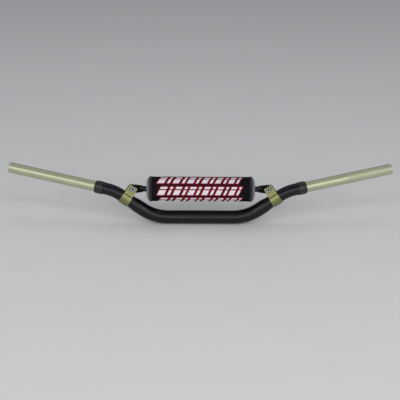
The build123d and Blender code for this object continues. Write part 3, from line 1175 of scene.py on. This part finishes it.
@dataclass
class BarPad:
    """The round crossbar pad: foam, a wrapped cover, taped ends, stitching and a hook strip."""

    wrap: Wrap = field(init=False)
    foam_radius: float = 24.1 * MM
    foam_bore: float = 6.25 * MM
    foam_setback: float = 1.6 * MM
    foam_lip: float = 1.2 * MM
    foam_pieces: int = 80
    foam_turns: int = 120
    dome_pieces: int = 12
    dome_lead: float = 0.9
    dome_fullness: float = 0.62
    lump_scale: float = 260.0
    lump_out: float = 0.55 * MM
    lump_in: float = 0.25 * MM
    slit_angle: float = radians(8)
    slit: float = radians(2)
    cover_radius: float = 25.75 * MM
    cover_thickness: float = 1.4 * MM
    cover_pieces: int = 120
    dent_scale: tuple[float, float] = (22.0, 30.0)
    dent_depth: float = 0.42 * MM
    pucker_depth: float = 0.16 * MM
    pucker_pitch: float = 6.6 * MM
    pucker_reach: float = 14 * MM
    tape_width: float = 5.5 * MM
    tape_thickness: float = 0.6 * MM
    stitch_length: float = 2.3 * MM
    stitch_pitch: float = 3.3 * MM
    stitch_width: float = 0.42 * MM
    binding_seam: float = 3.0 * MM
    lap_seams: tuple[float, float] = (3.0 * MM, 15.0 * MM)
    lap_seam_margin: float = 2.5 * MM

    def __post_init__(self) -> None:
        """Reads the pad's place from the CAD foam and cover."""
        low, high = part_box("pad_foam")
        middle = (low + high) / 2
        self.wrap = Wrap(Vector((0.0, middle.y, middle.z)))
        self.half_foam = high.x
        self.half_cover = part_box("pad_sleeve")[1].x
        self.half_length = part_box("pad_binding_right")[1].x

    def build(self) -> list[bpy.types.Object]:
        """Makes the pad."""
        foam = self.foam()
        cover = self.cover()
        strip = refined("pad_closure_strip", PAD_HOOKS)
        tapes = [self.binding("left", -1.0), self.binding("right", 1.0)]
        seams = [self.binding_stitches("left", -1.0), self.binding_stitches("right", 1.0), self.lap_stitches()]
        return [foam, cover, strip, *tapes, *seams]

    def profile(self, mesh: bmesh.types.BMesh, points: Sequence[tuple[float, float]], closed: bool) -> list:
        """Draws a profile at the wrap's start angle.

        Args:
            mesh: The mesh that it is drawn in.
            points: Its points, each a place along the pad and a radius.
            closed: Whether the last point joins the first.

        Returns:
            The profile's edges.
        """
        verts = []
        for x, radius in points:
            place = self.wrap.point(x, self.wrap.start, radius)
            verts += bmesh.ops.create_vert(mesh, co=place)["vert"]
        ends = verts[1:] + verts[:1] if closed else verts[1:]
        return [mesh.edges.new(pair) for pair in zip(verts, ends)]

    def foam(self) -> bpy.types.Object:
        """A round bar of foam with domed ends, slit along its back."""
        mesh = bmesh.new()
        half = self.half_length - self.foam_setback
        middle = [half * (2 * step / self.foam_pieces - 1) for step in range(self.foam_pieces + 1)]
        dome = []
        for step in range(1, self.dome_pieces + 1):
            angle = pi / 2 * step / self.dome_pieces
            reach = (self.half_foam - half) * sin(angle) ** self.dome_lead
            dome.append((half + reach, self.dome_radius(angle)))
        points = [(x, self.foam_radius) for x in middle] + dome
        points += [(self.half_foam - self.foam_lip, self.foam_bore)]
        points += [(-self.half_foam + self.foam_lip, self.foam_bore)]
        points += [(-x, radius) for x, radius in reversed(dome)]
        edges = self.profile(mesh, points, closed=True)
        verts = ends_of(edges)
        lead = Matrix.Rotation(self.slit_angle + self.slit / 2 - self.wrap.start, 3, "X")
        bmesh.ops.rotate(mesh, cent=self.wrap.centre, matrix=lead, verts=verts)
        turn = 2 * pi - self.slit
        last = spun(mesh, verts, edges, self.wrap.centre, Vector((1, 0, 0)), turn, self.foam_turns)[1]
        cap(mesh, edges, last)
        for vert in mesh.verts:
            arm = self.wrap.arm(vert.co)
            lump = noise.fractal(vert.co * self.lump_scale, 0.6, 2.1, 3)
            if abs(vert.co.x) > half and arm.length > self.foam_bore * 1.1:
                vert.co.x += lump * self.lump_out * (1 if vert.co.x > 0 else -1)
                vert.co -= arm.normalized() * abs(lump) * self.lump_in
        return settle(mesh, "pad_foam_dressed", [PAD_FOAM], nodes=["pad_foam"])

    def dome_radius(self, angle: float) -> float:
        """The radius of the foam's domed end, from its rim at 0 to its bore at a quarter turn."""
        return self.foam_bore + (self.foam_radius - self.foam_bore) * cos(angle) ** self.dome_fullness

    def cover(self) -> bpy.types.Object:
        """The wrapped cloth, with soft dents in its length and puckers where the tapes pull it in."""
        mesh = bmesh.new()
        shares = [2 * step / self.cover_pieces - 1 for step in range(self.cover_pieces + 1)]
        points = [(self.half_cover * share, self.cover_radius) for share in shares]
        edges = self.profile(mesh, points, closed=False)
        self.wrap.carry(mesh, edges, self.cover_radius)
        layer = mesh.verts.layers.float["round"]
        lengthwise, roundwise = self.dent_scale
        for vert in mesh.verts:
            arm = self.wrap.arm(vert.co).normalized()
            inside = (self.half_cover - self.tape_width - abs(vert.co.x)) / self.pucker_reach
            near_end = max(0.0, 1.0 - max(inside, 0.0)) if inside > -0.3 else 0.0
            held = min(max(inside, 0.0), 1.0)
            dent = noise.fractal(Vector((vert.co.x * lengthwise, vert[layer] * roundwise, 1.7)), 0.8, 2.0, 3)
            pucker = sin(vert[layer] * 2 * pi / self.pucker_pitch + 3.0 * dent)
            vert.co += arm * (self.dent_depth * dent * held + self.pucker_depth * near_end * pucker)
        bmesh.ops.recalc_face_normals(mesh, faces=mesh.faces)
        self.face_outwards(mesh)
        piece = settle(mesh, "pad_sleeve_dressed", [PAD_CLOTH], Shading.SMOOTH, nodes=["pad_sleeve"])
        wall = piece.modifiers.new("cloth_thickness", "SOLIDIFY")
        wall.thickness = self.cover_thickness
        wall.offset = -1.0
        wall.use_even_offset = True
        return piece

    def face_outwards(self, mesh: bmesh.types.BMesh) -> None:
        """Turns an open wrapped cloth so that its faces look away from the pad's axis."""
        face = next(iter(mesh.faces))
        if face.normal.dot(self.wrap.arm(face.calc_center_median())) < 0:
            bmesh.ops.reverse_faces(mesh, faces=mesh.faces)

    def binding(self, side: str, hand: float) -> bpy.types.Object:
        """A tape folded over one end of the cover.

        Args:
            side: The side's name.
            hand: 1 on the right and -1 on the left.

        Returns:
            The tape.
        """
        outer = self.cover_radius + self.tape_thickness
        under = self.cover_radius + 0.05 * MM
        inner = self.cover_radius - self.cover_thickness
        shape = [
            (5.50, under), (5.50, outer - 0.22 * MM), (5.20, outer), (4.30, outer + 0.14 * MM),
            (3.00, outer + 0.04 * MM), (1.80, outer + 0.14 * MM), (0.90, outer + 0.08 * MM), (0.30, outer - 0.14 * MM),
            (0.03, outer - 0.50 * MM), (0.0, outer - 1.0 * MM), (0.03, inner + 0.2 * MM), (0.2, inner),
            (0.58, inner), (0.60, inner + 0.2 * MM), (0.60, under),
        ]
        mesh = bmesh.new()
        points = [(hand * (self.half_length - back * MM), radius) for back, radius in shape]
        edges = self.profile(mesh, points, closed=True)
        last = self.wrap.carry(mesh, edges, self.cover_radius)
        cap(mesh, edges, last)
        return settle(mesh, f"pad_binding_{side}_dressed", [PAD_TAPE], nodes=[f"pad_binding_{side}"])

    def stitch(self, mesh: bmesh.types.BMesh, place: Vector, way: Vector, outwards: Vector) -> None:
        """Lays one stitch.

        Args:
            mesh: The mesh that holds the seam.
            place: The stitch's middle.
            way: The way that it runs.
            outwards: The way out of the cloth.
        """
        across = outwards.cross(way)
        turn = Matrix((way, across, outwards)).transposed().to_4x4()
        size = Matrix.Diagonal((self.stitch_length / 2, self.stitch_width / 2, self.stitch_width / 2, 1.0))
        bmesh.ops.create_uvsphere(
            mesh, u_segments=8, v_segments=6, radius=1.0, matrix=Matrix.Translation(place) @ turn @ size
        )

    def binding_stitches(self, side: str, hand: float) -> bpy.types.Object:
        """The seam round one tape."""
        mesh = bmesh.new()
        x = hand * (self.half_length - self.binding_seam)
        radius = self.cover_radius + self.tape_thickness + 0.1 * MM
        angles = self.wrap.angles()
        count = round((angles[-1] - angles[0]) * radius / self.stitch_pitch)
        for number in range(1, count):
            angle = angles[0] + (angles[-1] - angles[0]) * number / count
            way = self.wrap.point(x, angle + 0.01, radius) - self.wrap.point(x, angle - 0.01, radius)
            way.normalize()
            outwards = Vector((1.0, 0.0, 0.0)).cross(way) * -1.0
            self.stitch(mesh, self.wrap.point(x, angle, radius), way, outwards)
        return settle(mesh, f"pad_binding_stitches_{side}", [PAD_THREAD], Shading.SMOOTH)

    def lap_stitches(self) -> bpy.types.Object:
        """Two seams that hold the hook strip under the free edge of the lap."""
        mesh = bmesh.new()
        end = self.wrap.angles()[-1]
        half = self.half_length - self.tape_width - self.lap_seam_margin
        count = round(2 * half / self.stitch_pitch)
        for back in self.lap_seams:
            angle = end - back / self.cover_radius
            outwards = self.wrap.outwards(angle)
            for number in range(count):
                x = half * (2 * (number + 0.5) / count - 1)
                place = self.wrap.point(x, angle, self.cover_radius + 0.25 * MM)
                self.stitch(mesh, place, Vector((1.0, 0.0, 0.0)), outwards)
        return settle(mesh, "pad_lap_stitches", [PAD_THREAD], Shading.SMOOTH)


# Studio

@dataclass(frozen=True)
class FloorPaint(Finish):
    """Pale painted floor."""

    colour: Colour
    mottle_scale: float = 9.0
    grain_scale: float = 900.0
    grain_depth: float = 0.01 * MM

    def apply(self, paint: Paint, point: Socket) -> None:
        """An even pale coat with the faintest mottling."""
        mottle = paint.noise(point, self.mottle_scale, 4.0, 0.6)
        grain = paint.noise(point, self.grain_scale, 2.0)
        paint.surface(
            Base_Color=paint.mix(mottle, tint(self.colour, 0.985), tint(self.colour, 1.015)),
            Roughness=0.55 + (mottle - 0.5) * 0.1,
            Normal=paint.relief(grain, self.grain_depth),
        )


@dataclass(frozen=True)
class Lamp:
    """A soft rectangular lamp: its place, width, height and aim in metres, and its power in watts."""

    name: str
    place: tuple[float, float, float]
    size: tuple[float, float]
    power: float
    aim: tuple[float, float, float] = (0.0, 0.0, 0.05)

    def hang(self) -> None:
        """Hangs the lamp, facing the point that it aims at."""
        light = bpy.data.lights.new(self.name, "AREA")
        light.shape = "RECTANGLE"
        light.size, light.size_y = self.size
        light.energy = self.power
        lamp = placed(self.name, light)
        lamp.location = self.place
        lamp.rotation_mode = "QUATERNION"
        lamp.rotation_quaternion = (Vector(self.aim) - Vector(self.place)).to_track_quat("-Z", "Y")


@dataclass
class Studio:
    """The floor, the lamps and the camera."""

    lamps: tuple[Lamp, ...] = (
        Lamp("front_softbox", (0.15, -3.2, 1.65), (5.0, 3.2), 42.0),
        Lamp("front_strip", (0.20, -3.0, 1.05), (4.2, 0.62), 13.0),
        Lamp("left_softbox", (-1.64, -1.9, 1.64), (0.7, 0.7), 8.5),
        Lamp("right_softbox", (1.64, -1.9, 1.64), (0.7, 0.7), 8.5),
        Lamp("overhead_softbox", (0.0, 0.9, 2.4), (3.0, 1.2), 5.0, aim=(0.0, 0.0, 0.0)),
    )
    floor_level: float = -14.3 * MM
    floor_size: float = 60.0
    floor_colour: Colour = (0.92, 0.93, 0.94, 1.0)
    sky: Colour = (0.60, 0.61, 0.63, 1.0)
    sky_strength: float = 0.44
    distance: float = 1.847
    pitch: float = radians(22.0)
    yaw: float = radians(0.43)
    roll: float = radians(0.387)
    shift_right: float = -1.37 * MM
    shift_up: float = 35.75 * MM
    lens: float = 78.75
    sensor_width: float = 36.0
    clip: tuple[float, float] = (0.05, 100.0)

    def build(self) -> None:
        """Sets the stage."""
        self.floor()
        self.world()
        for lamp in self.lamps:
            lamp.hang()
        self.camera()
        bpy.context.scene.view_settings.view_transform = "Standard"

    def floor(self) -> None:
        """A plain floor that the bar's middle stands on."""
        mesh = bmesh.new()
        place = Matrix.Translation((0.0, 0.0, self.floor_level))
        bmesh.ops.create_grid(mesh, x_segments=1, y_segments=1, size=self.floor_size / 2, matrix=place)
        floor = solidified(mesh, "studio_floor", [FloorPaint("", "studio_floor", self.floor_colour)])

    def world(self) -> None:
        """Even pale light from all round."""
        world = bpy.data.worlds.new("studio")
        bpy.context.scene.world = world
        world.use_nodes = True
        background = world.node_tree.nodes["Background"]
        background.inputs["Color"].default_value = self.sky
        background.inputs["Strength"].default_value = self.sky_strength

    def camera(self) -> None:
        """Stands the camera where the photograph was taken from."""
        ahead = Vector((0.0, cos(self.pitch), -sin(self.pitch)))
        up = Vector((0.0, sin(self.pitch), cos(self.pitch)))
        right = Vector((1.0, 0.0, 0.0))
        place = -ahead * self.distance + right * self.shift_right + up * self.shift_up
        rolled_right = right * cos(self.roll) + up * sin(self.roll)
        rolled_up = up * cos(self.roll) - right * sin(self.roll)
        turn = Matrix((rolled_right, rolled_up, -ahead)).transposed().to_4x4()
        data = bpy.data.cameras.new("photo_camera")
        data.lens = self.lens
        data.sensor_width = self.sensor_width
        data.clip_start, data.clip_end = self.clip
        camera = placed("photo_camera", data)
        camera.matrix_world = Matrix.Rotation(-self.yaw, 4, "Z") @ Matrix.Translation(place) @ turn
        bpy.context.scene.camera = camera


def main() -> None:
    """Builds the studio and dresses the bar, and logs each piece that it makes."""
    logging.basicConfig(level=logging.INFO, format="%(message)s")
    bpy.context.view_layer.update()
    Studio().build()
    for assembly in (BarTubes(), ClampSet("left"), ClampSet("right"), Crossbar(), BarPad()):
        for piece in assembly.build():
            log.info("%s has %s", type(assembly).__name__, piece.name)


if __name__ == "__main__":
    main()
